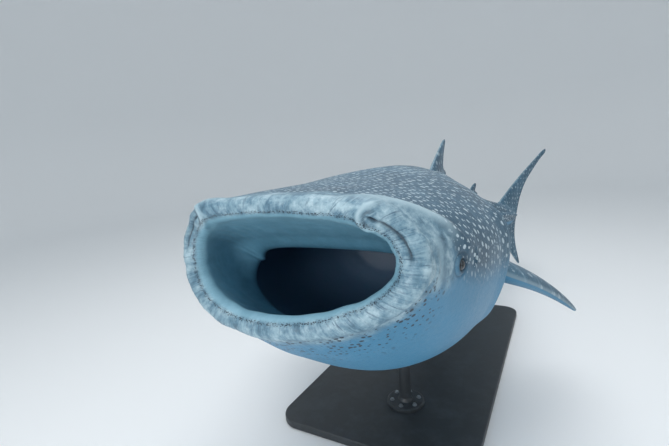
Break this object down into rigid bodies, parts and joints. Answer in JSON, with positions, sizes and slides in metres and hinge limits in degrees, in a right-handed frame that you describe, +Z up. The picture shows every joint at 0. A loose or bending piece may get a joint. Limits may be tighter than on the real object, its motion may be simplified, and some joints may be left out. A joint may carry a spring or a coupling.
{
  "type": "whale shark",
  "caption": "Life-size still model of a whale shark feeding with its mouth wide open, body gently curved, nose raised, held by two rods on a flat display base.",
  "frame": {"origin": "centre of the underside of the stand's base", "axes": "+Y from the snout towards the tail along the head's axis seen from above, +X to the shark's left, +Z up"},
  "size_m": [2.6201, 6.89, 2.1603],
  "materials": {
    "dark_skin": "wet satin skin, slate blue-grey with pale spots",
    "pale_skin": "wet satin skin, pale blue-grey",
    "eye": "wet glossy dark eye",
    "stand": "dark satin powder coat"
  },
  "bodies": {
    "root": {"head": "dark_skin", "lower_jaw": "pale_skin", "eye_left": "eye", "eye_right": "eye", "gill_region": "dark_skin", "torso_front": "dark_skin", "torso_rear": "dark_skin", "tail_front": "dark_skin", "tail_stalk": "dark_skin", "dorsal_fin_first": "dark_skin", "dorsal_fin_second": "dark_skin", "anal_fin": "dark_skin", "caudal_fin_upper": "dark_skin", "caudal_fin_lower": "dark_skin", "pectoral_fin_left": "dark_skin", "pectoral_fin_right": "dark_skin", "pelvic_fin_left": "dark_skin", "pelvic_fin_right": "dark_skin", "stand_base": "stand", "stand_rod_front": "stand", "stand_rod_rear": "stand", "stand_cradle_front": "stand", "stand_cradle_rear": "stand"}
  },
  "joints": []
}
